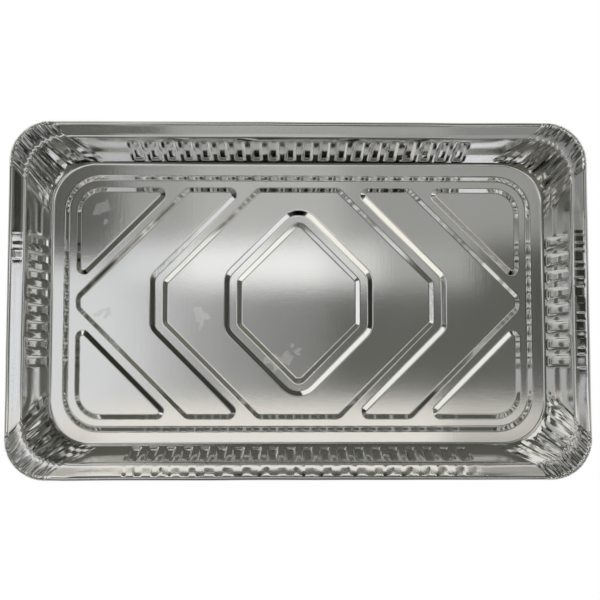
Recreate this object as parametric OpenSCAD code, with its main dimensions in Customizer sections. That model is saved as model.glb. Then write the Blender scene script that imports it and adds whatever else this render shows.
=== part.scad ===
// Foil roasting pan: one sheet of aluminium foil, stamped and rolled
// Millimetres. The pan stands on the table at z = 0, centred on the origin, long side along X.

/* [Overall] */
// Length over the rolled rim
rim_length = 527; // [505:1:580]
// Width over the rolled rim
rim_width = 325; // [310:1:360]
// Height from the table to the top of the rolled rim
pan_height = 55; // [42:1:80]
// Thickness of the foil
foil = 0.12; // [0.08:0.01:0.25]

/* [Rim] */
// Width of the flat flange between the opening and the bead
flange_width = 10.6; // [8:0.1:14]
// Outer diameter of the rolled bead
bead_diameter = 4.4; // [3.4:0.1:6]
// How far the bead stands above the flange
bead_rise = 0.8; // [0.2:0.1:1.2]
// How far the foil is rolled round the bead, in degrees
bead_roll = 305; // [240:5:320]
// Corner radius over the bead
rim_corner = 37; // [30:1:50]

/* [Wall] */
// How far the wall leans out between the base and the flange
wall_lean = 13; // [7:0.5:18]
// Corner radius of the opening, inside the flange
opening_corner = 36; // [30:1:48]
// Corner radius at the foot of the wall
base_corner = 40; // [32:1:50]
// Length of the slanted face that rounds each bend
bend = 1.6; // [0.8:0.1:2.4]

/* [Corner pleats] */
// Number of pleats gathered in each corner
pleats = 17; // [8:1:20]
// Depth of the pleats where the wall meets the flange
pleat_depth = 1.7; // [0.6:0.1:2.4]
// Height of the same pleats across the flange
pleat_height = 0.9; // [0.2:0.1:1.4]
// Depth of the pleats round the bead
bead_pleat = 0.8; // [0.2:0.1:1.2]

/* [Flutes] */
// Spacing of the flutes along the wall
flute_pitch = 16; // [13:0.5:24]
// Width of a flute where it leaves the wall
flute_width = 10.8; // [7:0.1:12]
// How far a flute is pressed outward
flute_depth = 2.4; // [1:0.1:3.4]
// Width of the slanted face along both edges of a flute
flute_flank = 2.2; // [1:0.1:3]
// Length of the slanted face at the foot of a flute
flute_foot_slope = 5; // [2:0.5:8]
// Distance from the base to the foot of a flute, along the wall
flute_start = 7; // [4:0.5:12]
// Distance from the top of a flute to the flange, along the wall
flute_end_gap = 6; // [4:0.5:12]
// Plain wall between the last flute and the corner, at the base
flute_margin = 30; // [20:1:45]

/* [Floor] */
// Flat band round the floor that the pan stands on
band_width = 13.3; // [9:0.1:18]
// Corner radius of the step
step_corner = 32.7; // [26:0.1:40]
// Height of the step up from the band
step_height = 2; // [1:0.1:3]
// Width of the slanted face of the step
step_slope = 3.4; // [2:0.1:5]
// Flat margin between the step and the raised panels
panel_margin = 7.4; // [5:0.1:10]
// Height of the panels above that margin
panel_height = 3; // [1.5:0.1:4]
// Width of the slanted face round each panel
panel_slope = 4.6; // [3:0.1:5]
// Width of the flat channels between the panels
channel = 7.4; // [5:0.1:9]

/* [Panels] */
// Half length of the middle diamond
diamond_reach = 58.6; // [52:0.1:64]
// Distance from the centre to the slanting sides of the diamond
diamond_side = 57; // [52:0.1:62]
// Width of the ring round the diamond, at its two ends
ring_end_width = 63.2; // [50:0.1:70]
// Width of the ring along its slanting sides
ring_side_width = 41.4; // [36:0.1:46]
// Width of the two arrow-shaped panels
arrow_width = 40.6; // [30:0.1:46]
// Radius of the two peaks of the diamond
diamond_peak_round = 9; // [7:0.5:12]
// Radius of the sharp tips
tip_round = 7; // [6:0.5:9]
// Radius of the blunt bends of the panels
blunt_round = 9; // [6:0.5:14]
// Radius of the two peaks of the opening in the ring
peak_round = 17; // [8:0.5:20]
// Radius of the corner panels in the corners of the floor
corner_panel_round = 24; // [14:1:30]

/* [Hidden] */
arc_step = 30;
overlap = 0.5;
diagonal = sqrt(2);

flange_top = pan_height - bead_rise;
wall_height = flange_top - foil;
wall_angle = atan2(wall_lean, wall_height);
wall_length = norm([wall_lean, wall_height]);
foil_across_wall = foil / cos(wall_angle);
bend_turn = 90 - wall_angle;
bend_inside = bend - foil * tan(bend_turn / 2);
bead_radius = bead_diameter / 2;
bead_start = 180 - asin((bead_radius - bead_rise) / bead_radius);
rim_reach = wall_lean + flange_width + bead_diameter;
base_half_length = rim_length / 2 - rim_reach;
base_half_width = rim_width / 2 - rim_reach;

step_half_length = base_half_length - band_width;
step_half_width = base_half_width - band_width;
panel_half_length = step_half_length - step_slope - panel_margin;
panel_half_width = step_half_width - step_slope - panel_margin;

// Distances of the slanting edges from the centre, from the diamond outward
ring_hole_side = diamond_side + channel;
ring_side = ring_hole_side + ring_side_width;
arrow_inner_side = ring_side + channel;
arrow_outer_side = arrow_inner_side + arrow_width;
corner_panel_side = arrow_outer_side + channel;

// Distances of the upright edges from the centre, from the diamond outward
ring_hole_reach = diamond_reach + channel;
ring_reach = ring_hole_reach + ring_end_width;
arrow_inner_reach = ring_reach + channel;

// Closed solid through rings that all have the same number of points. A folded one comes back along
// its own path, and splits the sides of both skins the same way, so that they stay parallel.
module loft(rings, folded = false) {
    count = len(rings[0]);
    last = (len(rings) - 1) * count;
    sides = [
        for (i = [0:len(rings) - 2], j = [0:count - 1])
            let (a = i * count + j, b = i * count + (j + 1) % count)
                each (
                    folded && 2 * i + 1 >= len(rings)
                        ? [[a, a + count, b], [b, a + count, b + count]]
                        : [[a, a + count, b + count], [a, b + count, b]]
                )
    ];
    lower_end = [for (j = [0:count - 1]) j];
    upper_end = [for (j = [count - 1:-1:0]) last + j];
    polyhedron([for (ring = rings) each ring], concat([lower_end], sides, [upper_end]));
}

// A flat outline lifted to a height
function at_height(outline, z) = [for (p = outline) [p[0], p[1], z]];

// In and out movement of the foil at step k of corner q, nought where the corner begins and ends
function pleat_wave(q, k) =
    (k % 2 == 0 ? -0.5 : 0.5) * min(1, 2 * sin(90 * k / pleats)) * (0.75 + 0.25 * sin(97 * k + 50 * q));

// One turn round the pan, reach beyond the foot of the wall, with pleats in its four corners
function turn_round(reach, radius, z, depth = 0, height = 0) = [
    for (q = [0:3], k = [0:2 * pleats])
        let (
            angle = 90 * q + 45 * k / pleats,
            side_x = q == 0 || q == 3 ? 1 : -1,
            side_y = q < 2 ? 1 : -1,
            wave = pleat_wave(q, k),
            r = radius + depth * wave
        )
        [
            side_x * (base_half_length + reach - radius) + r * cos(angle),
            side_y * (base_half_width + reach - radius) + r * sin(angle),
            z + height * wave
        ]
];

// Turn on the wall at a height, on its outer skin or moved inward by the foil
function wall_turn(z, inward = 0) =
    let (share = z / wall_height)
        turn_round(
            wall_lean * share - inward,
            base_corner + (opening_corner - base_corner) * share - inward,
            z,
            pleat_depth * share
        );

// Turn on the bead, at an angle round its section and a distance from its middle
function bead_turn(angle, distance) =
    let (reach = rim_reach - bead_radius + distance * cos(angle))
        turn_round(
            reach,
            rim_corner - rim_reach + reach,
            pan_height - bead_radius + distance * sin(angle),
            bead_pleat
        );

// Base, wall, flange and rolled bead: up the outer skin, round the roll and back down the inner skin
module stamped_sheet() {
    rise = bend * cos(wall_angle);
    rise_inside = bend_inside * cos(wall_angle);
    flange_radius = opening_corner + bend;
    roll_end = bead_start - bead_roll;
    roll = [bead_start, 90, 45, 0, for (i = [1:3]) roll_end * i / 3];
    outer_skin = [
        turn_round(-bend, base_corner - bend, 0),
        wall_turn(rise),
        wall_turn(wall_height - rise_inside),
        turn_round(wall_lean + bend_inside, flange_radius, wall_height, pleat_depth, pleat_height),
        for (angle = roll) bead_turn(angle, bead_radius - foil)
    ];
    inner_skin = [
        for (i = [len(roll) - 1:-1:0]) bead_turn(roll[i], bead_radius),
        turn_round(
            wall_lean + bend - foil_across_wall,
            flange_radius,
            flange_top,
            pleat_depth,
            pleat_height
        ),
        wall_turn(flange_top - rise, foil_across_wall),
        wall_turn(foil + rise_inside, foil_across_wall),
        turn_round(-bend_inside - foil_across_wall, base_corner - bend, foil)
    ];
    loft(concat(outer_skin, inner_skin), folded = true);
}

// Outline of one flute on the flat wall, square at the foot and round at the top
function flute_outline(width, start, end) =
    let (half = width / 2)
        [
            [-half, start],
            [half, start],
            for (angle = [0:60:180]) [half * cos(angle), end - half + half * sin(angle)]
        ];

// Solid of one flute, standing on the wall, with its skin moved outward by an amount
module flute(outward, sunk) {
    grow = outward * tan(atan2(flute_depth, flute_flank) / 2);
    start = flute_start - grow;
    end = wall_length - flute_end_gap + grow;
    mouth = flute_outline(flute_width + 2 * grow, start, end);
    back = flute_outline(
        flute_width - 2 * flute_flank + 2 * grow,
        start + flute_foot_slope,
        end - flute_flank
    );
    hull()
        loft([
            at_height(mouth, outward - sunk),
            at_height(mouth, outward),
            at_height(back, outward + flute_depth)
        ]);
}

// Flutes in a row along one wall, whose foot lies at a distance from the centre
module flute_row(distance, straight, outward, sunk) {
    gap = flute_pitch - flute_width;
    count = floor((straight - 2 * flute_margin + gap) / flute_pitch);
    for (i = [0:count - 1])
        translate([(i - (count - 1) / 2) * flute_pitch, -distance, 0])
            rotate([90 + wall_angle, 0, 0])
                translate([0, 0, -foil])
                    flute(outward, sunk);
}

// Rows of flutes on all four walls
module all_flutes(outward, sunk) {
    long_straight = 2 * (base_half_length - base_corner);
    short_straight = 2 * (base_half_width - base_corner);
    for (turn = [0, 180])
        rotate(turn) {
            flute_row(base_half_width, long_straight, outward, sunk);
            rotate(90)
                flute_row(base_half_length, short_straight, outward, sunk);
        }
}

// Direction that points into an outline from the edge a to b
function inward(a, b) = [a[1] - b[1], b[0] - a[0]] / norm(b - a);

// Rounded outline moved inward: corners are [x, y, radius], a hollow corner has a negative radius
function rounded(corners, move) = [
    for (i = [0:len(corners) - 1])
        let (
            before = corners[(i + len(corners) - 1) % len(corners)],
            corner = corners[i],
            after = corners[(i + 1) % len(corners)],
            at = [corner[0], corner[1]],
            n1 = inward([before[0], before[1]], at),
            n2 = inward(at, [after[0], after[1]]),
            turn = atan2(n1[0] * n2[1] - n1[1] * n2[0], n1 * n2),
            steps = ceil(abs(turn) / arc_step),
            centre = at + corner[2] * (n1 + n2) / (1 + n1 * n2)
        )
        for (k = [0:steps])
            let (t = turn * k / steps)
                centre - (corner[2] - move)
                    * [n1[0] * cos(t) - n1[1] * sin(t), n1[0] * sin(t) + n1[1] * cos(t)]
];

// Solid with a slanted edge that rises from a foot outline, its skin moved up by an amount
module raised(corners, z, height, slope, up, sunk) {
    grow = up * tan(atan2(height, slope) / 2);
    foot = rounded(corners, -grow);
    loft([
        at_height(foot, z + up - sunk),
        at_height(foot, z + up),
        at_height(rounded(corners, slope - grow), z + up + height)
    ]);
}

// Step corners, and the whole floor inside them
module floor_step(up, sunk) {
    corners = [
        for (s = [[1, -1], [1, 1], [-1, 1], [-1, -1]])
            [s[0] * step_half_length, s[1] * step_half_width, step_corner]
    ];
    raised(corners, 0, step_height, step_slope, up, sunk);
}

// Outline with straight ends and slanting sides, cut off at the long edges of the floor
function cut_diamond(reach, side, width) =
    let (end_y = side * diagonal - reach, top_x = side * diagonal - width)
        [
            for (s = [[1, -1], [1, 1], [-1, 1], [-1, -1]])
                each (
                    s[0] * s[1] < 0
                        ? [[s[0] * top_x, s[1] * width, blunt_round], [s[0] * reach, s[1] * end_y, blunt_round]]
                        : [[s[0] * reach, s[1] * end_y, blunt_round], [s[0] * top_x, s[1] * width, blunt_round]]
                )
        ];

// Outline with straight ends whose slanting sides meet in two peaks
function peaked_diamond(reach, side, blunt, peak) =
    let (peak_y = side * diagonal, end_y = peak_y - reach)
        [
            [reach, -end_y, blunt],
            [reach, end_y, blunt],
            [0, peak_y, peak],
            [-reach, end_y, blunt],
            [-reach, -end_y, blunt],
            [0, -peak_y, peak]
        ];

// Diamond in the middle of the floor
module diamond_panel(up, sunk) {
    raised(
        peaked_diamond(diamond_reach, diamond_side, blunt_round, diamond_peak_round),
        step_height,
        panel_height,
        panel_slope,
        up,
        sunk
    );
}

// Ring round the diamond, with an opening whose edge slants the other way
module ring_panel(up, sunk) {
    top = step_height + panel_height + up;
    grow = up * tan(atan2(panel_height, panel_slope) / 2);
    hole = peaked_diamond(ring_hole_reach, ring_hole_side, blunt_round + panel_slope, peak_round);
    hole_foot = rounded(hole, grow);
    hole_top = rounded(hole, grow - panel_slope);
    difference() {
        raised(
            cut_diamond(ring_reach, ring_side, panel_half_width),
            step_height,
            panel_height,
            panel_slope,
            up,
            sunk
        );
        loft([
            at_height(hole_foot, step_height + up - sunk - overlap),
            at_height(hole_foot, step_height + up),
            at_height(hole_top, top),
            at_height(hole_top, top + overlap)
        ]);
    }
}

// Arrow-shaped panel at the right end of the floor
module arrow_panel(up, sunk) {
    outer_x = arrow_outer_side * diagonal - panel_half_width;
    inner_x = arrow_inner_side * diagonal - panel_half_width;
    outer_y = arrow_outer_side * diagonal - panel_half_length;
    inner_y = arrow_inner_side * diagonal - arrow_inner_reach;
    corners = [
        [inner_x, -panel_half_width, tip_round],
        [outer_x, -panel_half_width, blunt_round],
        [panel_half_length, -outer_y, blunt_round],
        [panel_half_length, outer_y, blunt_round],
        [outer_x, panel_half_width, blunt_round],
        [inner_x, panel_half_width, tip_round],
        [arrow_inner_reach, inner_y, -blunt_round],
        [arrow_inner_reach, -inner_y, -blunt_round]
    ];
    raised(corners, step_height, panel_height, panel_slope, up, sunk);
}

// Three-cornered panel in the far right corner of the floor
module corner_panel(up, sunk) {
    edge = corner_panel_side * diagonal;
    corners = [
        [panel_half_length, edge - panel_half_length, tip_round],
        [panel_half_length, panel_half_width, corner_panel_round],
        [edge - panel_half_width, panel_half_width, tip_round]
    ];
    raised(corners, step_height, panel_height, panel_slope, up, sunk);
}

// All the raised shapes of the floor, with their skin moved up by an amount
module raised_floor(up, sunk) {
    floor_step(up, sunk);
    diamond_panel(up, sunk);
    ring_panel(up, sunk);
    for (turn = [0, 180])
        rotate(turn) {
            arrow_panel(up, sunk);
            corner_panel(up, sunk);
            mirror([0, 1, 0])
                corner_panel(up, sunk);
        }
}

// The whole pan: each raised or pressed shape is added one foil thick and hollowed from behind
module foil_pan() {
    color([0.77, 0.78, 0.79])
        difference() {
            union() {
                stamped_sheet();
                all_flutes(foil, foil / 2);
                raised_floor(foil, foil / 2);
            }
            all_flutes(0, overlap);
            raised_floor(0, overlap);
        }
}

foil_pan();
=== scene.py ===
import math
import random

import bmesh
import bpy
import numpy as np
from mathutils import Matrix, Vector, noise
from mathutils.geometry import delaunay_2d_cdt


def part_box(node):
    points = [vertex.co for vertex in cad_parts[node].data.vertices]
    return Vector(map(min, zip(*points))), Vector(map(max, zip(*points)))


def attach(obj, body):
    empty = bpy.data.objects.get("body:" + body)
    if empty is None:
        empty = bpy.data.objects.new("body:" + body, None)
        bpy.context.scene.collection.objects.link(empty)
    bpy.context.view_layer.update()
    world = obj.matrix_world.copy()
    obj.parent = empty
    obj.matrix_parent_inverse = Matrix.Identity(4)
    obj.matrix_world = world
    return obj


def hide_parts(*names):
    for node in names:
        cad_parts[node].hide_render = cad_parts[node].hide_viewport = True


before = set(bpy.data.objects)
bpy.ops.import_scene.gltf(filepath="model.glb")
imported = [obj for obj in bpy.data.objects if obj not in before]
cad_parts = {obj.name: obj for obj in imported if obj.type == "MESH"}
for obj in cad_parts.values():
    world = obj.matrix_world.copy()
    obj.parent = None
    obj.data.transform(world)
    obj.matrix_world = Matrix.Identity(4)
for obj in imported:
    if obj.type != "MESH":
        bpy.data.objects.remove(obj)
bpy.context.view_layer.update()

# %% [markdown]
# ## The foil roasting pan
# The real pan starts as a flat sheet of aluminium foil, a little thicker than a sheet of paper.
# A press with a male and a female die draws it into a tray. The floor comes out with raised panels,
# the walls with upright flutes, and the spare foil in the corners gathers into pleats. A last tool
# rolls the raw edge into a bead, so that nobody is cut.
# The look depends on two things: the relief that the dies leave, and what the bright metal mirrors.
# So most of this script is the shape of the sheet, and the rest is its metal and the studio round it.

MM = 0.001
high = Vector(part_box("foil_pan")[1]) / MM

RIM_HALF_LENGTH = high.x
RIM_HALF_WIDTH = high.y
PAN_HEIGHT = high.z
FOIL = 0.12
BEAD_RADIUS = 2.2
BEAD_RISE = 0.8
FLANGE_WIDTH = 10.6
WALL_LEAN = 13.0
RIM_CORNER, OPENING_CORNER, BASE_CORNER = 37.0, 36.0, 40.0
RIM_REACH = WALL_LEAN + FLANGE_WIDTH + 2 * BEAD_RADIUS
BASE_HALF_LENGTH = RIM_HALF_LENGTH - RIM_REACH
BASE_HALF_WIDTH = RIM_HALF_WIDTH - RIM_REACH
FLANGE_Z = PAN_HEIGHT - BEAD_RISE
base_size = [round(2 * half, 1) for half in (BASE_HALF_LENGTH, BASE_HALF_WIDTH)]
print("base", base_size, "mm, height", round(PAN_HEIGHT, 1), "mm")

# %% [markdown]
# ## Outlines of the floor panels
# On the real pan each panel is a plateau with straight, upright and slanting sides and rounded corners.
# An outline could be drawn point by point, or a curve object could be converted. Here each one is a few
# corners with a radius, and a formula rounds them. The same formula can move an outline inward, which
# gives the lines of the slope, one inside the other, with matching corners.

# %% A rounded outline, moved inward by an amount
ARC_STEP = 14.0


def rounded(corners, move):
    """Points of a closed outline, counter-clockwise; a hollow corner has a negative radius."""
    points = []
    for i, (x, y, radius) in enumerate(corners):
        here = Vector((x, y))
        before = Vector(corners[i - 1][:2])
        after = Vector(corners[(i + 1) % len(corners)][:2])
        into, out = (here - before).normalized(), (after - here).normalized()
        n1, n2 = Vector((-into.y, into.x)), Vector((-out.y, out.x))
        turn = math.atan2(n1.x * n2.y - n1.y * n2.x, n1.dot(n2))
        centre = here + radius * (n1 + n2) / (1 + n1.dot(n2))
        steps = max(2, math.ceil(abs(math.degrees(turn)) / ARC_STEP))
        for k in range(steps + 1):
            t = turn * k / steps
            way = Vector((
                n1.x * math.cos(t) - n1.y * math.sin(t),
                n1.x * math.sin(t) + n1.y * math.cos(t),
            ))
            points.append(centre - (radius - move) * way)
    return points


# %% Sizes of the step and the panels, and helpers for their corners
FOUR_CORNERS = ((1, -1), (1, 1), (-1, 1), (-1, -1))
STEP_MARGIN, PANEL_MARGIN, CHANNEL = 12.5, 11.6, 7.4
STEP = Vector((BASE_HALF_LENGTH - STEP_MARGIN, BASE_HALF_WIDTH - STEP_MARGIN))
PANEL = STEP - Vector((PANEL_MARGIN, PANEL_MARGIN))
DIAMOND_REACH, DIAMOND_SIDE = 58.6, 57.0
RING_END, RING_SIDE, ARROW_SIDE = 63.2, 41.4, 40.6
TIP_ROUND, BLUNT_ROUND, CORNER_ROUND = 7.0, 9.0, 24.0
DIAMOND_PEAK_ROUND, HOLE_PEAK_ROUND, HOLE_BLUNT_ROUND = 9.0, 17.0, 13.6
STEP_ROUND = BASE_CORNER - 6.5


def mirrored(corners, flip_x, flip_y):
    """The same outline on another side of the floor, still counter-clockwise."""
    flipped = [(x * flip_x, y * flip_y, radius) for x, y, radius in corners]
    return flipped if flip_x * flip_y > 0 else flipped[::-1]


def peaked(reach, side, blunt_round, peak_round):
    """Straight ends, and slanting sides that meet in two peaks."""
    peak = side * math.sqrt(2)
    end = peak - reach
    half = [(reach, -end, blunt_round), (reach, end, blunt_round), (0.0, peak, peak_round)]
    return half + mirrored(half, -1, -1)


def distance_out(side, far):
    """Where a slanting side at a distance from the centre meets a straight edge."""
    return side * math.sqrt(2) - far


print("panels reach", [round(reach, 1) for reach in PANEL], "mm from the middle")

# %% The corners of each panel, from the middle outward: x, y and radius
hole_side = DIAMOND_SIDE + CHANNEL
ring_side = hole_side + RING_SIDE
arrow_in = ring_side + CHANNEL
arrow_out = arrow_in + ARROW_SIDE
corner_side = arrow_out + CHANNEL
hole_reach = DIAMOND_REACH + CHANNEL
ring_reach = hole_reach + RING_END
arrow_reach = ring_reach + CHANNEL

diamond = peaked(DIAMOND_REACH, DIAMOND_SIDE, BLUNT_ROUND, DIAMOND_PEAK_ROUND)
ring_hole = peaked(hole_reach, hole_side, HOLE_BLUNT_ROUND, HOLE_PEAK_ROUND)
ring_half = [
    (distance_out(ring_side, PANEL.y), -PANEL.y, BLUNT_ROUND),
    (ring_reach, -distance_out(ring_side, ring_reach), BLUNT_ROUND),
    (ring_reach, distance_out(ring_side, ring_reach), BLUNT_ROUND),
    (distance_out(ring_side, PANEL.y), PANEL.y, BLUNT_ROUND),
]
ring = ring_half + mirrored(ring_half, -1, -1)
arrow = [
    (distance_out(arrow_in, PANEL.y), -PANEL.y, TIP_ROUND),
    (distance_out(arrow_out, PANEL.y), -PANEL.y, BLUNT_ROUND),
    (PANEL.x, -distance_out(arrow_out, PANEL.x), BLUNT_ROUND),
    (PANEL.x, distance_out(arrow_out, PANEL.x), BLUNT_ROUND),
    (distance_out(arrow_out, PANEL.y), PANEL.y, BLUNT_ROUND),
    (distance_out(arrow_in, PANEL.y), PANEL.y, TIP_ROUND),
    (arrow_reach, distance_out(arrow_in, arrow_reach), -BLUNT_ROUND),
    (arrow_reach, -distance_out(arrow_in, arrow_reach), -BLUNT_ROUND),
]
corner_panel = [
    (PANEL.x, distance_out(corner_side, PANEL.x), TIP_ROUND),
    (PANEL.x, PANEL.y, CORNER_ROUND),
    (distance_out(corner_side, PANEL.y), PANEL.y, TIP_ROUND),
]
step = [(sx * STEP.x, sy * STEP.y, STEP_ROUND) for sx, sy in FOUR_CORNERS]
plateaus = [diamond, ring, arrow, mirrored(arrow, -1, 1)]
plateaus += [mirrored(corner_panel, sx, sy) for sx in (1, -1) for sy in (1, -1)]
print(len(plateaus), "plateaus and one hole")

# %% [markdown]
# ## Height of the floor
# A stamped slope isn't a sharp ramp: the foil bends over the die's edge in a small round. A displaced
# grid could raise the panels, but it would leave ragged slopes. Here the height across a slope is a ramp
# with a rounded foot and a rounded top. A few lines along each slope are enough to draw that, and they
# become edges of the mesh, so that the slopes stay crisp.

# %% Slopes of the step and of the panels
STEP_HEIGHT, STEP_SLOPE, STEP_BEND = 2.4, 4.3, 0.8
PANEL_HEIGHT, PANEL_SLOPE, PANEL_BEND = 2.6, 4.6, 0.45
GUARD = 0.6


def ramp(distance, width, height, bend):
    """Height at a distance in from the foot of a slope, with both bends rounded."""
    def bent(t):
        if t <= -bend:
            return 0.0
        return t if t >= bend else (t + bend) ** 2 / (4 * bend)
    return height / width * (bent(distance) - bent(distance - width))


def slope_lines(width, bend):
    """Distances in from the foot at which a slope gets a line of points."""
    lines = [-bend, 0.0, bend, width - bend, width, width + bend]
    return [-bend - GUARD] + lines + [width + bend + GUARD]


def inside(points, outline):
    """Which of the points lie inside a closed outline."""
    x, y = points[:, 0], points[:, 1]
    result = np.zeros(len(points), bool)
    for a, b in zip(outline, outline[1:] + outline[:1]):
        if a.y != b.y:
            crosses = (a.y > y) != (b.y > y)
            result ^= crosses & (x < (b.x - a.x) * (y - a.y) / (b.y - a.y) + a.x)
    return result


print("panel slope", round(math.degrees(math.atan2(PANEL_HEIGHT, PANEL_SLOPE))), "degrees")

# %% [markdown]
# ## The lines of points that draw the floor
# The floor could be built by extruding and insetting each panel by hand, but neighbouring panels then
# need matching edges, and slanting sides leave bad corners. Here every slope is a set of lines round an
# outline, and a triangulation joins all lines at once, as a die maker's program meshes a stamping.

# %% Lines round every slope
LINE_SPACING = 6.0


def matching_lines(corners, moves):
    """The same outline moved by several amounts, with points that lie side by side."""
    lines = [rounded(corners, move) for move in moves]
    longest = max(lines, key=lambda line: sum((a - b).length for a, b in zip(line, line[1:])))
    stretches = zip(longest, longest[1:] + longest[:1])
    parts = [max(1, math.ceil((b - a).length / LINE_SPACING)) for a, b in stretches]
    return [
        [a.lerp(b, k / n) for a, b, n in zip(line, line[1:] + line[:1], parts) for k in range(n)]
        for line in lines
    ]


# Each slope: corners, 1 if it rises inward or -1 outward, width, height, height of its foot, bend
slopes = [(step, 1, STEP_SLOPE, STEP_HEIGHT, 0.0, STEP_BEND)]
slopes += [(ring_hole, -1, PANEL_SLOPE, PANEL_HEIGHT, STEP_HEIGHT, PANEL_BEND)]
slopes += [(outline, 1, PANEL_SLOPE, PANEL_HEIGHT, STEP_HEIGHT, PANEL_BEND) for outline in plateaus]

flat_points, heights, line_edges = [], [], []
for corners, side, width, height, foot_height, bend in slopes:
    distances = slope_lines(width, bend)
    for distance, line in zip(distances, matching_lines(corners, [side * d for d in distances])):
        first = len(flat_points)
        flat_points += line
        heights += [foot_height + ramp(distance, width, height, bend)] * len(line)
        line_edges += [(first + k, first + (k + 1) % len(line)) for k in range(len(line))]
print(len(flat_points), "points on the lines of", len(slopes), "slopes")

# %% Loose points on the flat parts, kept clear of the slopes
GRID, ROW_SHARE = 7.0, 0.87
BASE_MARGIN = 3.0
flat_reach = Vector((BASE_HALF_LENGTH - BASE_MARGIN, BASE_HALF_WIDTH - BASE_MARGIN))
grid = np.array([
    (GRID * (i + 0.5 * (j % 2)), GRID * ROW_SHARE * j)
    for i in range(-40, 41)
    for j in range(-30, 31)
])
flat_corners = [
    (sx * flat_reach.x, sy * flat_reach.y, BASE_CORNER - BASE_MARGIN) for sx, sy in FOUR_CORNERS
]
keep = inside(grid, rounded(flat_corners, 0.6 * GRID))
grid_heights = np.zeros(len(grid))
for corners, side, width, height, foot_height, bend in slopes:
    outer = inside(grid, rounded(corners, side * -0.5 * GRID))
    inner = inside(grid, rounded(corners, side * (width + 0.5 * GRID)))
    keep &= outer == inner
    if side > 0:
        grid_heights[inner] += height
    else:
        grid_heights[outer] -= height
flat_points += [Vector(point) for point in grid[keep]]
heights += list(grid_heights[keep])
print(int(keep.sum()), "loose points")

# %% [markdown]
# ## Stations and rows of the wall, the flange and the bead
# Outside the floor, the sheet is a band that runs once round the pan. It could be lofted between a few
# curves, but flutes and folds need points just where the foil bends. So it is drawn as rows, from the
# base bend up to the end of the roll, and stations, which are the upright lines that cross them. The
# stations lie where the shape needs them: on the flutes' edges, and close together in the corners.

# %% Rows: how far out from the base edge, and how high
WALL_HEIGHT = FLANGE_Z - FOIL
WALL_TILT = math.atan2(WALL_LEAN, WALL_HEIGHT)
WALL_LENGTH = math.hypot(WALL_LEAN, WALL_HEIGHT)
BEND = 1.6
BEAD_OUT = RIM_REACH - BEAD_RADIUS
BEAD_UP = PAN_HEIGHT - BEAD_RADIUS
BEAD_FROM = 180 - math.degrees(math.asin((BEAD_RADIUS - BEAD_RISE) / BEAD_RADIUS))
BEAD_ROLL = 305.0
WALL_ROWS = (6, 7.1, 8.3, 9.4, 17, 27, 35, 41, 44, 46, 47.6, 48.8, 49.7, 51.6)
FLANGE_ROWS = (17.0, 19.5, 21.8, 23.3)
BEND_STEPS, BEAD_STEPS = 3, 10


def arc_rows(start, corner, end, steps):
    """A smooth bend between two straight stretches that would meet in a corner."""
    points = []
    for k in range(steps + 1):
        t = k / steps
        points.append((1 - t) ** 2 * start + 2 * t * (1 - t) * corner + t ** 2 * end)
    return points


up_wall = Vector((math.sin(WALL_TILT), math.cos(WALL_TILT)))
foot_point, top_point = Vector((0, 0)), Vector((WALL_LEAN, WALL_HEIGHT))
rows = [Vector((-BASE_MARGIN, 0.0))]
rows += arc_rows(foot_point - Vector((BEND, 0)), foot_point, foot_point + BEND * up_wall, BEND_STEPS)
rows += [distance * up_wall for distance in WALL_ROWS]
rows += arc_rows(top_point - BEND * up_wall, top_point, top_point + Vector((BEND, 0)), BEND_STEPS)
first_flange = len(rows)
rows += [Vector((out, WALL_HEIGHT)) for out in FLANGE_ROWS]
first_bead = len(rows)
for k in range(BEAD_STEPS + 1):
    angle = math.radians(BEAD_FROM - BEAD_ROLL * k / BEAD_STEPS)
    rows.append(Vector((
        BEAD_OUT + (BEAD_RADIUS - FOIL) * math.cos(angle),
        BEAD_UP + (BEAD_RADIUS - FOIL) * math.sin(angle),
    )))
print(len(rows), "rows, of which", len(rows) - first_bead, "on the bead")

# %% Corner radius of each row, and how far up the wall it lies
row_out = np.array([row.x for row in rows])
row_up = np.array([row.y for row in rows])
up_share = np.clip(row_up / WALL_HEIGHT, 0, 1)
row_radius = BASE_CORNER + (OPENING_CORNER - BASE_CORNER) * up_share
row_radius[0] = BASE_CORNER - BASE_MARGIN
rim_blend = np.clip((row_out - WALL_LEAN - BEND) / (FLANGE_WIDTH - BEND), 0, 1)
rim_radius = RIM_CORNER - RIM_REACH + row_out
row_radius = row_radius * (1 - rim_blend) + rim_radius * rim_blend
along_wall = np.clip(row_up / math.cos(WALL_TILT), 0, WALL_LENGTH)
along_wall[first_flange:] = WALL_LENGTH
print("corner radius", row_radius.min().round(1), "to", row_radius.max().round(1), "mm")

# %% Crease lines of each corner, from its one end at -1 to the other at 1
WALL_FOLDS, FOLD_PARTS = 26, 4
NARROWEST, WIDEST = 0.55, 1.45
rng = random.Random(11)
crease_places, corner_shares = [], []
for q in range(4):
    gaps = [rng.uniform(NARROWEST, WIDEST) for _ in range(WALL_FOLDS)]
    places = 2 * np.r_[0, np.cumsum(gaps)] / sum(gaps) - 1
    crease_places.append(places)
    steps = np.linspace(0, WALL_FOLDS, WALL_FOLDS * FOLD_PARTS + 1)
    corner_shares.append(np.interp(steps, range(WALL_FOLDS + 1), places))
print(len(corner_shares[0]), "stations in a corner")

# %% Stations: which side, how far along it, or how far round the corner that follows it
FLUTE_PITCH, FLUTE_HALF, FLUTE_DEPTH, FLUTE_FLANK = 16.0, 5.6, 2.2, 3.2
FLUTE_START, FLUTE_FOOT, FLUTE_END_GAP = 6.0, 3.4, 6.0
FLUTE_MARGIN = 30.0
ACROSS_FLUTE = (-8.0, -5.6, -4.5, -3.5, -2.4, 2.4, 3.5, 4.5, 5.6)
PLAIN_STEPS, NO_FLUTE = 6, 99.0

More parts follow.
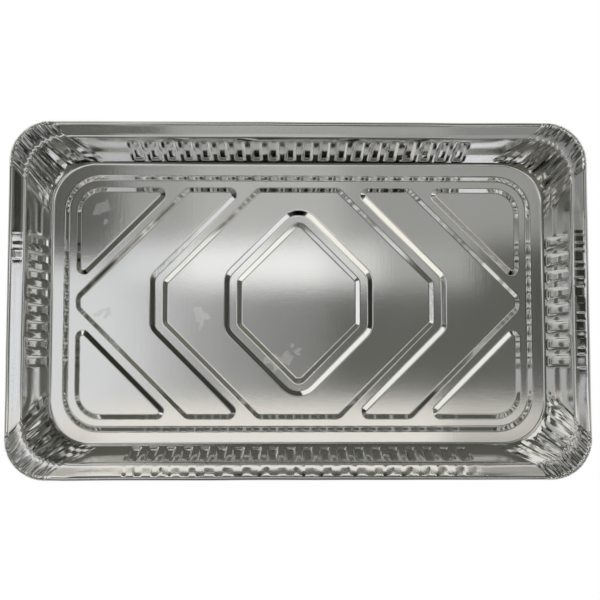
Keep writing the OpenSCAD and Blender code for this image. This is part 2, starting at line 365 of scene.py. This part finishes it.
# Each station: side, place along it, share of the plain wall beyond, end of the flutes, place round
# the corner or 0, distance to the nearest flute's axis, and that flute's number or -1
stations = []
for side in range(4):
    half = (BASE_HALF_LENGTH, BASE_HALF_WIDTH)[side % 2]
    room = 2 * (half - BASE_CORNER - FLUTE_MARGIN) + FLUTE_PITCH - 2 * FLUTE_HALF
    flutes = int(room / FLUTE_PITCH)
    end = 0.5 * flutes * FLUTE_PITCH
    plain_shares = [k / PLAIN_STEPS for k in range(1, PLAIN_STEPS)]
    stations += [(side, -end, -share, end, 0, NO_FLUTE, -1) for share in reversed(plain_shares)]
    for i in range(flutes):
        axis = (i - 0.5 * (flutes - 1)) * FLUTE_PITCH
        stations += [(side, axis + across, 0.0, end, 0, abs(across), i) for across in ACROSS_FLUTE]
    stations.append((side, end, 0.0, end, 0, 0.5 * FLUTE_PITCH, -1))
    stations += [(side, end, share, end, 0, NO_FLUTE, -1) for share in plain_shares]
    stations += [(side, end, 1.0, end, place + 2, NO_FLUTE, -1) for place in corner_shares[side]]
columns = [np.array(column)[:, None] for column in zip(*stations)]
side, start, share, end, place, off_axis, flute = columns
in_corner = place[:, 0] > 0
print(len(stations), "stations")

# %% Where each station crosses each row: the turn round the corner, and the straight way beside it
FOLD_FOOT_REACH, FOLD_TOP_REACH, LEAST_BEYOND = 46.0, 34.0, 3.0
half_along = np.where(side % 2 == 0, BASE_HALF_LENGTH, BASE_HALF_WIDTH)
half_across = np.where(side % 2 == 0, BASE_HALF_WIDTH, BASE_HALF_LENGTH)
straight = half_along + row_out - row_radius
quarter_arc = math.pi / 4 * row_radius
reach = FOLD_FOOT_REACH + (FOLD_TOP_REACH - FOLD_FOOT_REACH) * up_share
reach = np.maximum(reach, quarter_arc + LEAST_BEYOND)
arc = (place - 2) * reach
turn = np.where(place > 0, np.clip(arc / row_radius + math.pi / 4, 0, math.pi / 2), 0)
before = np.where(place > 0, np.maximum(0, -arc - quarter_arc), 0)
after = np.where(place > 0, np.maximum(0, arc - quarter_arc), 0)
plain_room = straight - (reach - quarter_arc) - end
beyond_flutes = np.where(place > 0, straight - end, plain_room)
along = start + share * beyond_flutes - before + row_radius * np.sin(turn)
print("plain wall beside the corners", plain_room.min().round(1), "mm or more")

# %% [markdown]
# ## Creases in the corners
# A drawn tray has more foil than room in its corners, so the foil gathers there. The folds are straight
# creases with flat faces between them, not soft waves, and no two are alike. A displacement texture
# would give soft lumps, so the stations of a corner follow the creases, and each crease line moves out
# or in by its own amount. Between two lines the foil is straight. The flange and the bead are
# crimped more finely, where the last tools pressed the gathered foil flat.

# %% Heights of a row of creases
END_FADE = 0.08


def crease_heights(count, low, high):
    """Heights that stand out and in by turns, fading at both ends."""
    heights = np.array([(-1) ** i * rng.uniform(low, high) for i in range(count)])
    from_end = np.minimum(np.arange(count), np.arange(count)[::-1])
    return heights * np.minimum(1, from_end / (END_FADE * count))


# %% Folds of the wall, the flange and the bead
WALL_FOLD_DEPTH, SMALL_FOLD_DEPTH = 1.3, 0.16
FLANGE_FOLD_HEIGHT, FLANGE_CRIMP, BEAD_CRIMP = 0.16, 0.11, 0.3
BEGINS_LOW, BEGINS_HIGH, GROWS_OVER = 0.02, 0.16, 0.14
wall_push = np.zeros(turn.shape)
flange_lift = np.zeros(turn.shape)
bead_push = np.zeros(turn.shape)
last = len(rows) - 1
for q in range(4):
    here = in_corner & (side[:, 0] == q)
    t = corner_shares[q]
    wall_lines = crease_heights(WALL_FOLDS + 1, 0.4, 1.0)
    top_lines = crease_heights(WALL_FOLDS + 1, 0.4, 1.0)
    flange_lines = crease_heights(WALL_FOLDS + 1, 0.1, 1.0)
    fine_wall = crease_heights(len(t), -0.2, 1.0)
    fine_flange = crease_heights(len(t), -0.2, 1.0)
    fine_rim = crease_heights(len(t), 0.0, 1.0)
    fine_bead = crease_heights(len(t), -0.1, 1.0)
    begins = np.array([rng.uniform(BEGINS_LOW, BEGINS_HIGH) for _ in wall_lines])
    for k in range(1, len(rows)):
        level = up_share[k] if k < first_flange else 1.0
        out = np.clip((row_out[k] - WALL_LEAN) / FLANGE_WIDTH, 0, 1)
        mixed = wall_lines * (1 - level) + top_lines * level
        grown = np.clip((level - begins) / GROWS_OVER, 0, 1)
        fade_out = 1.0 if k < first_flange else max(0.0, 1 - 2 * out)
        wall_push[here, k] = fade_out * (
            WALL_FOLD_DEPTH * np.interp(t, crease_places[q], mixed * grown)
            + SMALL_FOLD_DEPTH * level * fine_wall
        )
        # Towards the rim the wall's folds fade, and the fine crimps take over
        if k >= first_flange - 2:
            near_rim = min(1.0, 1.3 * out)
            pressed_flat = min(1.0, 0.35 * (k - first_flange + 3)) if k <= first_bead else 0.4
            flange_lift[here, k] = pressed_flat * (
                FLANGE_FOLD_HEIGHT * (1 - 0.5 * out) * np.interp(t, crease_places[q], flange_lines)
                + FLANGE_CRIMP * (0.35 * (1 - near_rim) * fine_flange + near_rim * fine_rim)
            )
        if k > first_bead:
            round_bead = (k - first_bead) / (last - first_bead)
            bead_push[here, k] = BEAD_CRIMP * min(1.0, 4 * round_bead) * fine_bead
print("deepest fold", round(float(np.abs(wall_push).max()), 2), "mm")

# %% [markdown]
# ## Flutes, and the soft unevenness of thin foil
# The flutes stiffen the wall: each one is pressed outward, with a slanting foot and a round top. They
# could be cut in with a boolean, but thin foil would then have two thicknesses. Here the points of the
# wall move out by what the die pressed. On the straight stretches the foil isn't truly flat either. It
# bulges a few tenths of a millimetre, and the flange has small ripples where the pan was gripped. In a
# mirror-like metal this shows at once.

# %% How far each flute is pressed out
FLUTE_UNEVEN, ROUNDED_SHARE = 0.06, 0.6
flute_top = WALL_LENGTH - FLUTE_END_GAP
past_cap = np.maximum(0, along_wall - (flute_top - FLUTE_HALF))
to_edge = FLUTE_HALF - np.hypot(off_axis, past_cap)
pressed = np.minimum(to_edge / FLUTE_FLANK, (along_wall - FLUTE_START) / FLUTE_FOOT)
uneven = 1 + FLUTE_UNEVEN * np.sin(37.0 * flute + 5.0 * side)
pressed = np.clip(pressed, 0, 1)
profile = (1 - ROUNDED_SHARE) * pressed + ROUNDED_SHARE * pressed ** 2 * (3 - 2 * pressed)
flute_push = FLUTE_DEPTH * uneven * profile
print("deepest flute", round(float(flute_push.max()), 2), "mm")

# %% Slow noise over the band
BULGE_SEED, BULGE_SIZE = 3.0, 60.0


def soft_noise(seed, size):
    """Slow, smooth noise between about -1 and 1 for every station and row."""
    result = np.zeros(along.shape)
    for i in range(along.shape[0]):
        for k in range(along.shape[1]):
            up_the_sheet = row_up[k] / size + 0.3 * row_out[k] / size
            spot = Vector((along[i, k] / size, up_the_sheet, seed + 7 * side[i, 0]))
            result[i, k] = noise.noise(spot)
    return result


bulge = soft_noise(BULGE_SEED, BULGE_SIZE)
print("noise from", bulge.min().round(2), "to", bulge.max().round(2))

# %% Soft bulges and flange ripples
RIPPLES = [  # side, length of a ripple, height, and where along the side they begin and end
    (0, 15.0, 0.16, -200, 200),
    (1, 6.2, 0.16, -95, 95),
    (3, 5.6, 0.2, -66, -30),
]
WALL_BULGE, WALL_UNEVEN, RIM_UNEVEN, WALL_TOP = 0.18, 0.3, 0.3, 0.97
FRONT_DIP, DIP_LENGTH = 0.3, 140.0
on_flange = np.zeros(len(rows))
on_flange[first_flange:first_bead] = (0.7, 1.0, 1.0, 0.5)
ripple = np.zeros(along.shape)
for which, pitch, height, begin, finish in RIPPLES:
    wave = np.sin(2 * math.pi * along / pitch + 3.0 * bulge)
    wave = wave + 0.5 * np.sin(2 * math.pi * along / (0.62 * pitch))
    window = np.clip(np.minimum(along - begin, finish - along) / 8, 0, 1)
    ripple += np.where(side == which, height * wave * window, 0) * on_flange
wall_soft = (WALL_BULGE + WALL_UNEVEN * bulge) * np.sin(math.pi * up_share)
rim_soft = RIM_UNEVEN * bulge * np.where(up_share > WALL_TOP, 1.0, 0.0)
across_flange = np.clip((row_out - WALL_LEAN) / FLANGE_WIDTH, 0, 1)
sag = FRONT_DIP * across_flange ** 2 * np.cos(along / DIP_LENGTH)
dip = np.where((side == 0) & (place == 0), sag, 0)
print("ripples up to", round(float(np.abs(ripple).max()), 2), "mm")

# %% Every point of the band, in millimetres
outward = row_out + wall_push + flute_push * math.cos(WALL_TILT) + wall_soft + rim_soft
upward = row_up - flute_push * math.sin(WALL_TILT) + flange_lift + ripple - dip
on_bead = np.arange(len(rows)) >= first_bead
outward = outward + bead_push * np.where(on_bead, (row_out - BEAD_OUT) / BEAD_RADIUS, 0)
upward = upward + bead_push * np.where(on_bead, (row_up - BEAD_UP) / BEAD_RADIUS, 0)
outward[:, 0] = row_out[0]
moved_out = outward - row_out
local_x = along + moved_out * np.sin(turn)
local_y = half_across + row_out - row_radius + row_radius * np.cos(turn) + moved_out * np.cos(turn)
local_y = local_y - after
quarter = side * math.pi / 2
band = np.stack([
    np.cos(quarter) * local_x + np.sin(quarter) * local_y,
    np.sin(quarter) * local_x - np.cos(quarter) * local_y,
    upward,
], axis=-1)
print("band reaches", band.min(axis=(0, 1)).round(1), band.max(axis=(0, 1)).round(1))

# %% [markdown]
# ## From the floor to the sheet
# First the floor is triangulated inside its edge. Then its edge is extruded, row by row, as one would by
# hand with the E key, and each new row is put in its place. A number kept on the points says which
# station they belong to: an extrusion copies it, so no point has to be searched for.

# %% The floor as a mesh
INSIDE_THE_EDGE, SAME_POINT = 1, 1e-4
edge_first = len(flat_points)
all_points = flat_points + [Vector(point) for point in band[:, 0, :2]]
all_heights = heights + [0.0] * len(stations)
edge_lines = [(edge_first + k, edge_first + (k + 1) % len(stations)) for k in range(len(stations))]
points, _, faces, origins, _, _ = delaunay_2d_cdt(
    all_points, line_edges + edge_lines, [], INSIDE_THE_EDGE, SAME_POINT
)
sheet_mesh = bpy.data.meshes.new("foil_sheet")
lifted = [(x * MM, y * MM, all_heights[origin[0]] * MM) for (x, y), origin in zip(points, origins)]
sheet_mesh.from_pydata(lifted, [], faces)
sheet = bpy.data.objects.new("foil_sheet", sheet_mesh)
bpy.context.collection.objects.link(sheet)
station_of = sheet_mesh.attributes.new("station", "INT", "POINT")
for k, origin in enumerate(origins):
    station_of.data[k].value = origin[0] - edge_first
print(len(points), "points and", len(faces), "faces in the floor")

# %% Extrude the edge of the floor through all rows
bpy.ops.object.select_all(action="DESELECT")
sheet.select_set(True)
bpy.context.view_layer.objects.active = sheet
bpy.ops.object.mode_set(mode="EDIT")
bpy.ops.mesh.select_mode(type="EDGE")
bpy.ops.mesh.select_all(action="DESELECT")
bpy.ops.mesh.select_non_manifold(extend=False)
for k in range(1, len(rows)):
    bpy.ops.mesh.extrude_edges_move()
    work = bmesh.from_edit_mesh(sheet_mesh)
    number = work.verts.layers.int["station"]
    for vert in work.verts:
        if vert.select:
            vert.co = Vector(band[vert[number], k]) * MM
bmesh.update_edit_mesh(sheet_mesh)
bpy.ops.mesh.select_all(action="SELECT")
bpy.ops.mesh.normals_make_consistent(inside=False)
bpy.ops.object.mode_set(mode="OBJECT")
print(len(sheet_mesh.polygons), "faces in the sheet")

# %% Give the foil its thickness
SMOOTH_BELOW = math.radians(32)
lowest = min(sheet_mesh.polygons, key=lambda face: face.center.z + face.center.xy.length)
print("floor normal points", "down" if lowest.normal.z < 0 else "up")
if lowest.normal.z > 0:
    sheet_mesh.flip_normals()
bpy.ops.object.modifier_add(type="SOLIDIFY")
sheet.modifiers[-1].thickness = FOIL * MM
sheet.modifiers[-1].offset = -1
bpy.ops.object.modifier_apply(modifier=sheet.modifiers[-1].name)
bpy.ops.object.shade_smooth_by_angle(angle=SMOOTH_BELOW)
print(len(sheet_mesh.polygons), "faces on both sides of the foil")

# %% Keep the creases of the corners sharp
CREASE_ABOVE = math.radians(9)
work = bmesh.new()
work.from_mesh(sheet_mesh)
number = work.verts.layers.int["station"]
creases = 0
for edge in work.edges:
    a, b = (vert[number] for vert in edge.verts)
    upright = a >= 0 and a == b and in_corner[a] and len(edge.link_faces) == 2
    if upright and edge.calc_face_angle() > CREASE_ABOVE:
        edge.smooth = False
        creases += 1
work.to_mesh(sheet_mesh)
work.free()
print(creases, "sharp crease edges")
bpy.ops.object.modifier_add(type="WEIGHTED_NORMAL")
sheet.modifiers[-1].keep_sharp = True
bpy.ops.object.modifier_apply(modifier=sheet.modifiers[-1].name)
print(sum(len(face.vertices) - 2 for face in sheet_mesh.polygons), "triangles")
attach(sheet, "root")
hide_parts("foil_pan")

# %% [markdown]
# ## The metal
# The real sheet is bare rolled aluminium: a light, neutral grey that mirrors the room a little blurred.
# A picture of foil could be laid over the shape, but it would freeze one room into the metal. Here the
# metal is plain and mirrors what is really there. What makes it foil is how its roughness and a very
# shallow relief vary, and both come from noise on the piece's own coordinates.

# %% Small helpers that add shader nodes
def add_node(tree, kind, sockets, out=0, **settings):
    """Adds a shader node, with a number or a link on each named socket, and returns one output."""
    node = tree.nodes.new("ShaderNode" + kind)
    for name, setting in settings.items():
        setattr(node, name, setting)
    for name, value in sockets.items():
        if isinstance(value, bpy.types.NodeSocket):
            tree.links.new(value, node.inputs[name])
        else:
            node.inputs[name].default_value = value
    return node.outputs[out]


def maths(tree, operation, *values):
    """One step of arithmetic on numbers and outputs."""
    return add_node(tree, "Math", dict(enumerate(values)), operation=operation)


def ranged(tree, value, low_in, high_in, low_out, high_out):
    """A value moved from one range to another, and kept inside it."""
    names = ("Value", "From Min", "From Max", "To Min", "To Max")
    return add_node(tree, "MapRange", dict(zip(names, (value, low_in, high_in, low_out, high_out))))


# %% [markdown]
# ### How dull the foil is
# The foil leaves the rolls evenly bright, and handling dulls it: slow patches everywhere, and a few
# faint smudges on the floor. They could be painted by hand. Here slow noise makes the patches, and
# finer noise is lifted near a few places, so that a smudge appears only there, with an uneven edge.

# %% Roughness: patches, a wall a little brighter than the floor, and smudges
FLOOR_ROUGHNESS, WALL_ROUGHNESS = 0.065, 0.055
FLOOR_TOP, WALL_FOOT = 0.005, 0.009
PATCH_SCALE, PATCH_ROUGHNESS = 14.0, 0.05
SMUDGES = [  # x and y of the middle, and the reach, in metres
    (-0.093, -0.013, 0.022), (-0.09, -0.039, 0.02), (-0.003, -0.047, 0.024), (-0.026, -0.056, 0.022),
    (-0.185, 0.085, 0.03), (-0.185, -0.011, 0.022), (0.169, 0.018, 0.015),
]
SPOT_SCALE, SPOT_DETAIL = 105.0, 1.0
SMUDGE_MIDDLE, SMUDGE_LIFT = 0.3, 0.6
SMUDGE_FROM, SMUDGE_FULL, SMUDGE_ROUGHNESS = 1.1, 1.13, 0.1


def foil_roughness(tree, place, patches):
    """Roughness from slow patches, with the smudges on top."""
    height = add_node(tree, "SeparateXYZ", {"Vector": place}, out="Z")
    even = ranged(tree, height, FLOOR_TOP, WALL_FOOT, FLOOR_ROUGHNESS, WALL_ROUGHNESS)
    patchy = maths(tree, "MULTIPLY_ADD", patches, PATCH_ROUGHNESS, even)
    spots = add_node(tree, "TexNoise", {"Vector": place, "Scale": SPOT_SCALE, "Detail": SPOT_DETAIL})
    for x, y, reach in SMUDGES:
        sockets = {0: place, 1: (x, y, 0.0)}
        away = add_node(tree, "VectorMath", sockets, out="Value", operation="DISTANCE")
        lift = ranged(tree, away, reach, SMUDGE_MIDDLE * reach, 0.0, SMUDGE_LIFT)
        spots = maths(tree, "ADD", spots, lift)
    dull = ranged(tree, spots, SMUDGE_FROM, SMUDGE_FULL, 0.0, SMUDGE_ROUGHNESS)
    return maths(tree, "ADD", patchy, dull)


# %% [markdown]
# ### Rolling lines and grain
# The rolls leave fine lines on the sheet, and between them the surface has a very fine grain. Both are
# far too shallow to model, but they spread a highlight. So they are a bump of a tenth of a millimetre
# at most: noise that is stretched along the lines, and fine even noise for the grain.

# %% Relief: rolling lines across the pan, and grain
LINE_SCALE = (520.0, 30.0, 30.0)
GRAIN_SCALE, GRAIN_SHARE = 1300.0, 1.2
RELIEF_STRENGTH, RELIEF_HEIGHT = 0.12, 0.0001


def foil_relief(tree, place):
    """A faint bump from rolling lines and grain."""
    stretched = add_node(tree, "Mapping", {"Vector": place, "Scale": LINE_SCALE})
    lines = add_node(tree, "TexNoise", {"Vector": stretched, "Scale": 1.0})
    grain = add_node(tree, "TexNoise", {"Vector": place, "Scale": GRAIN_SCALE})
    relief = maths(tree, "MULTIPLY_ADD", grain, GRAIN_SHARE, lines)
    sockets = {"Strength": RELIEF_STRENGTH, "Distance": RELIEF_HEIGHT, "Height": relief}
    return add_node(tree, "Bump", sockets)


# %% Aluminium foil
DARKER_METAL, LIGHTER_METAL = (0.79, 0.79, 0.775, 1), (0.87, 0.87, 0.86, 1)


def foil_material():
    """Bright rolled aluminium with fine rolling lines and slight dulling."""
    material = bpy.data.materials.new("aluminium_foil")
    material.use_nodes = True
    tree = material.node_tree
    metal = tree.nodes["Principled BSDF"]
    metal.inputs["Metallic"].default_value = 1.0
    place = add_node(tree, "TexCoord", {}, out="Object")
    patches = add_node(tree, "TexNoise", {"Vector": place, "Scale": PATCH_SCALE})
    shade = tree.nodes.new("ShaderNodeValToRGB")
    shade.color_ramp.elements[0].color = DARKER_METAL
    shade.color_ramp.elements[1].color = LIGHTER_METAL
    tree.links.new(patches, shade.inputs["Fac"])
    tree.links.new(shade.outputs["Color"], metal.inputs["Base Color"])
    tree.links.new(foil_roughness(tree, place, patches), metal.inputs["Roughness"])
    tree.links.new(foil_relief(tree, place), metal.inputs["Normal"])
    return material


sheet.data.materials.append(foil_material())
print("material", sheet.data.materials[0].name, "with", len(SMUDGES), "smudges")

# %% [markdown]
# ## The ground
# The pan is shown on white, as a cut-out, with a faint shadow. A lit white floor alone would come out
# grey in places. So the floor is pale paint, and for the camera most of it is a glow of full white. The
# metal mirrors that glow too, but less of it, so that the outside of the pan isn't washed out.

# %% The pale floor
FLOOR_SIZE, FLOOR_DROP = 40, 0.0002
FLOOR_TONE, FLOOR_GLOW = 0.94, 1.05
SEEN_SHARE, MIRRORED_SHARE = 0.94, 0.4


def pale_floor():
    """A wide pale floor that stays white to the camera and keeps the pan's shadow."""
    bpy.ops.object.select_all(action="DESELECT")
    bpy.ops.mesh.primitive_plane_add(size=FLOOR_SIZE, location=(0, 0, -FLOOR_DROP))
    floor = bpy.context.active_object
    floor.name = "studio_floor"
    material = bpy.data.materials.new("pale_floor")
    material.use_nodes = True
    tree = material.node_tree
    tree.nodes.remove(tree.nodes["Principled BSDF"])
    paint = add_node(tree, "BsdfDiffuse", {"Color": (FLOOR_TONE, FLOOR_TONE, FLOOR_TONE, 1)})
    glow = add_node(tree, "Emission", {"Strength": FLOOR_GLOW})
    ray = tree.nodes.new("ShaderNodeLightPath").outputs
    seen = maths(tree, "MAXIMUM", ray["Is Camera Ray"], ray["Is Transmission Ray"])
    share = maths(tree, "MULTIPLY", seen, SEEN_SHARE)
    share = maths(tree, "MULTIPLY_ADD", ray["Is Glossy Ray"], MIRRORED_SHARE, share)
    mixed = add_node(tree, "MixShader", {"Fac": share, 1: paint, 2: glow})
    tree.links.new(mixed, tree.nodes["Material Output"].inputs["Surface"])
    floor.data.materials.append(material)


pale_floor()
print("floor", FLOOR_SIZE, "m wide")

# %% [markdown]
# ## The room that the metal mirrors
# A bright pan is shown in a dim room, because its metal shows nothing but the room. A picture of a
# room could be wrapped round the scene. Here the room is a few greys, which depend on where a ray goes:
# how high, and whether to the front, to the back or aside. The floor mirrors what is overhead, and the
# slopes and walls mirror what is lower. Near the horizon the room is white, as the ground is, apart from
# straight in front. The camera itself sees plain white behind the pan.

# %% Greys of the room by height, from 0 at the horizon to 1 overhead
BEHIND = [(0.5, 0.11), (0.62, 0.01), (0.68, 0.13), (0.8, 0.1), (0.86, 0.13), (0.89, 0.05), (0.96, 0.02)]
BEFORE = [(0.3, 0.12), (0.6, 0.2), (0.74, 0.3), (0.8, 0.5), (0.86, 0.5), (0.885, 0.18), (0.96, 0.03)]
WHITE_PAINT = (1, 1, 1, 1)
LIGHT_FROM, LIGHT_BLUE, DARK_BLUE = 0.3, 0.96, 0.86


def tone_ramp(tree, height, stops):
    """A ramp of slightly warm greys over the height; the dark ones are warmer."""
    ramp = tree.nodes.new("ShaderNodeValToRGB")
    while len(ramp.color_ramp.elements) < len(stops):
        ramp.color_ramp.elements.new(1.0)
    for element, (level, tone) in zip(ramp.color_ramp.elements, stops):
        blue = (LIGHT_BLUE if tone > LIGHT_FROM else DARK_BLUE) * tone
        element.position = level
        element.color = (tone, tone, blue, 1)
    tree.links.new(height, ramp.inputs["Fac"])
    return ramp.outputs["Color"]


def mixed_colours(tree, share, first, second):
    """One colour that turns into another as the share goes from 0 to 1."""
    sockets = {"Factor": share, "A": first, "B": second}
    return add_node(tree, "Mix", sockets, out="Result", data_type="RGBA")


print(len(BEHIND), "greys behind the pan and", len(BEFORE), "in front")

# %% The world: front, back and sides, the horizon, and what the camera sees
RIGHT_SHARE, LOW_SHARE = 0.45, 0.85
HORIZON, LOW_DOWN, OVERHEAD = (0.12, 0.2), (0.5, 0.62), (0.79, 0.83)
TO_THE_FRONT, ASIDE, TO_THE_RIGHT = (-0.05, -0.3), (0.2, 0.55), (-0.1, 0.1)


def front_share(tree, aside, x, z):
    """How much of its grey the front keeps: much at the sides, overhead and low down, none between."""
    beside = maths(tree, "MULTIPLY", aside, ranged(tree, x, *TO_THE_RIGHT, 1.0, RIGHT_SHARE))
    overhead = ranged(tree, z, *OVERHEAD, 0.0, 1.0)
    low_down = ranged(tree, z, *LOW_DOWN, LOW_SHARE, 0.0)
    return maths(tree, "MAXIMUM", maths(tree, "MAXIMUM", beside, overhead), low_down)


def studio_world():
    """A dim room with a white horizon, which the camera sees as plain white."""
    world = bpy.data.worlds.new("studio")
    bpy.context.scene.world = world
    world.use_nodes = True
    tree = world.node_tree
    parts = tree.nodes.new("ShaderNodeSeparateXYZ")
    tree.links.new(add_node(tree, "TexCoord", {}, out="Generated"), parts.inputs["Vector"])
    x, y, z = (parts.outputs[name] for name in "XYZ")
    spread = maths(tree, "ADD", maths(tree, "ABSOLUTE", x), maths(tree, "ABSOLUTE", y))
    front = ranged(tree, maths(tree, "DIVIDE", y, spread), *TO_THE_FRONT, 0.0, 1.0)
    sideways = maths(tree, "DIVIDE", maths(tree, "ABSOLUTE", x), spread)
    aside = ranged(tree, sideways, *ASIDE, 0.0, 1.0)

    sockets = {0: tone_ramp(tree, z, BEFORE), "Scale": front_share(tree, aside, x, z)}
    in_front = add_node(tree, "VectorMath", sockets, operation="SCALE")
    room = mixed_colours(tree, front, tone_ramp(tree, z, BEHIND), in_front)
    not_in_front = maths(tree, "MAXIMUM", maths(tree, "SUBTRACT", 1.0, front), aside)
    white_share = maths(tree, "MULTIPLY", ranged(tree, z, *HORIZON, 1.0, 0.0), not_in_front)
    sky = mixed_colours(tree, white_share, room, WHITE_PAINT)
    ray = tree.nodes.new("ShaderNodeLightPath").outputs
    seen = maths(tree, "MAXIMUM", ray["Is Camera Ray"], ray["Is Transmission Ray"])
    tree.links.new(mixed_colours(tree, seen, sky, WHITE_PAINT), tree.nodes["Background"].inputs["Color"])
    return world


world = studio_world()
print("world of", len(world.node_tree.nodes), "nodes")

# %% [markdown]
# ## The lamps
# On such metal each bright field is the mirror image of a lamp or a lit wall, so a lamp's place and its
# edges show. Round lamps would leave round spots. Each lamp here is a flat rectangle that hangs where
# one part of the pan mirrors it, and it is as bright as that part looks. Those overhead lie side by
# side in one plane, and draw the floor. The cards draw the walls, the slopes and the corner folds.

# %% A flat lamp
SKY = 1.6
COOL, WARM, LEAF, PLAIN = (0.95, 0.96, 1.0), (1.0, 0.97, 0.9), (1.0, 1.0, 0.92), (1, 1, 1)
PAPER = (1.0, 0.99, 0.95)


def soft_box(name, centre, size, aim, radiance, colour):
    """A flat soft lamp of a given radiance, which the camera doesn't see."""
    lamp = bpy.data.lights.new(name, "AREA")
    lamp.shape = "RECTANGLE"
    lamp.size, lamp.size_y = size
    lamp.energy = radiance * math.pi * size[0] * size[1]
    lamp.color = colour
    box = bpy.data.objects.new(name, lamp)
    box.location = centre
    box.rotation_euler = (Vector(aim) - Vector(centre)).to_track_quat("-Z", "Y").to_euler()
    box.visible_camera = False
    bpy.context.collection.objects.link(box)


# %% Lamps overhead, all at the height SKY: name, centre, size, radiance and colour
# The last ones stand in a row, and each keeps 0.7 of the light of the one before
FADES, FADE_SIZE, FADE_START, FADE_FIRST, FADE_KEPT = 6, (0.09, 0.27), -0.385, 0.59, 0.7
overhead_boxes = [
    ("band_left", (-0.345, 0.2), (0.17, 0.115), 0.7, COOL),
    ("band_light", (-0.08, 0.2), (0.36, 0.115), 0.92, PLAIN),
    ("band_right", (0.17, 0.2), (0.14, 0.115), 0.67, PLAIN),
    ("band_end", (0.36, 0.2), (0.24, 0.115), 0.31, PLAIN),
    ("left_glow", (-0.525, 0.02), (0.19, 0.38), 0.67, COOL),
    ("left_edge", (-0.653, 0.02), (0.066, 0.42), 0.95, COOL),
    ("left_edge_far", (-0.85, 0.02), (0.33, 0.42), 0.25, COOL),
    ("front_strip", (-0.04, -0.26), (0.88, 0.24), 0.77, WARM),
    ("front_right", (0.54, -0.19), (0.28, 0.1), 0.56, WARM),
    ("front_right_low", (0.6, -0.31), (0.4, 0.14), 0.24, WARM),
    ("front_left", (-0.69, -0.19), (0.42, 0.1), 0.73, WARM),
    ("front_left_low", (-0.62, -0.31), (0.28, 0.14), 0.36, WARM),
    ("back_left_grey", (-0.33, 0.365), (0.18, 0.21), 0.25, PLAIN),
    ("back_grey", (-0.05, 0.365), (0.38, 0.21), 0.37, PLAIN),
    ("back_right_grey", (0.485, 0.365), (0.69, 0.21), 0.23, PLAIN),
    ("back_far", (0.05, 0.52), (0.7, 0.1), 0.24, PLAIN),
    ("back_far_right", (0.63, 0.53), (0.46, 0.12), 0.14, PLAIN),
    ("back_line", (0.0, 0.594), (1.0, 0.048), 0.65, PLAIN),
    ("right_edge", (0.8, -0.125), (0.24, 0.13), 0.5, COOL),
    ("left_wall_light", (-1.09, -0.25), (0.42, 0.7), 0.48, COOL),
    ("left_wall_grey", (-1.09, 0.25), (0.42, 0.3), 0.25, COOL),
    ("left_slope_light", (-1.46, 0.0), (0.32, 0.8), 0.4, COOL),
    ("right_slope_light", (1.44, 0.1), (0.32, 0.9), 0.22, COOL),
]
for k in range(FADES):
    centre = (FADE_SIZE[0] * k + FADE_START, 0.0)
    overhead_boxes.append((f"left_fade_{k}", centre, FADE_SIZE, FADE_FIRST * FADE_KEPT ** k, COOL))
for name, (x, y), size, radiance, colour in overhead_boxes:
    soft_box(name, (x, y, SKY), size, (x, y, 0), radiance, colour)
print(len(overhead_boxes), "lamps overhead")

# %% The ceiling, and cards round the pan: name, centre, size, aim, radiance and colour
cards = [
    ("ceiling", (0.02, 0.1, 1.7), (1.32, 1.25), (0.02, 0.1, 0), 0.11, LEAF),
    ("back_left_card", (-0.88, 1.2, 1.0), (1.5, 0.75), (0, 0, 0), 0.95, PAPER),
    ("right_card", (1.35, 0.1, 0.68), (1.0, 0.26), (0, 0, 0), 0.9, COOL),
    ("left_flank_card", (0.5, -0.89, 1.6), (0.3, 0.26), (-0.25, 0, 0.03), 0.4, COOL),
    ("right_flank_card", (-0.6, -0.8, 1.6), (0.5, 0.3), (0.2, 0, 0.03), 0.35, WARM),
    ("far_left_card", (-0.48, -1.22, 1.6), (0.22, 0.2), (-0.19, 0.13, 0.03), 0.75, COOL),
    ("far_right_card", (0.58, -1.2, 1.6), (0.22, 0.2), (0.19, 0.13, 0.03), 1.1, COOL),
    ("front_left_card", (-0.727, -0.767, 1.014), (0.6, 0.22), (0, 0.1, 0.03), 0.9, WARM),
    ("front_right_card", (0.905, -0.66, 0.95), (0.6, 0.24), (0, 0.1, 0.03), 0.9, COOL),
    ("near_back_card", (0.379, 0.421, 0.225), (0.16, 0.09), (0.054, 0.096, 0.03), 0.7, COOL),
]
for card in cards:
    soft_box(*card)
print(len(cards) - 1, "cards and a ceiling")

# %% [markdown]
# ## The camera
# The pan is seen from nearly straight above, about a metre up and a few degrees from the front. A camera
# could be turned by hand until it looks right. Here it stands at a measured place and aims at a measured
# point, with the pan's length level in the frame, so that no angle is left to chance.

# %% Camera
CAMERA = (-0.018, -0.064, 0.975)
AIM = (0.0003, -0.001, 0.055)
ANGLE_OF_VIEW = 32.73
SENSOR_WIDTH = 36

camera_data = bpy.data.cameras.new("camera")
camera_data.sensor_width = SENSOR_WIDTH
camera_data.lens = SENSOR_WIDTH / 2 / math.tan(math.radians(ANGLE_OF_VIEW / 2))
camera = bpy.data.objects.new("camera", camera_data)
camera.location = CAMERA
ahead = (Vector(AIM) - Vector(CAMERA)).normalized()
across = ahead.cross(Vector((0, 1, 0))).normalized()
camera.rotation_euler = Matrix((across, across.cross(ahead), -ahead)).transposed().to_euler()
bpy.context.collection.objects.link(camera)
bpy.context.scene.camera = camera
bpy.context.scene.view_settings.view_transform = "Standard"
away = (Vector(AIM) - Vector(CAMERA)).length
print("camera of", round(camera_data.lens, 1), "mm,", round(away, 2), "m from the pan")
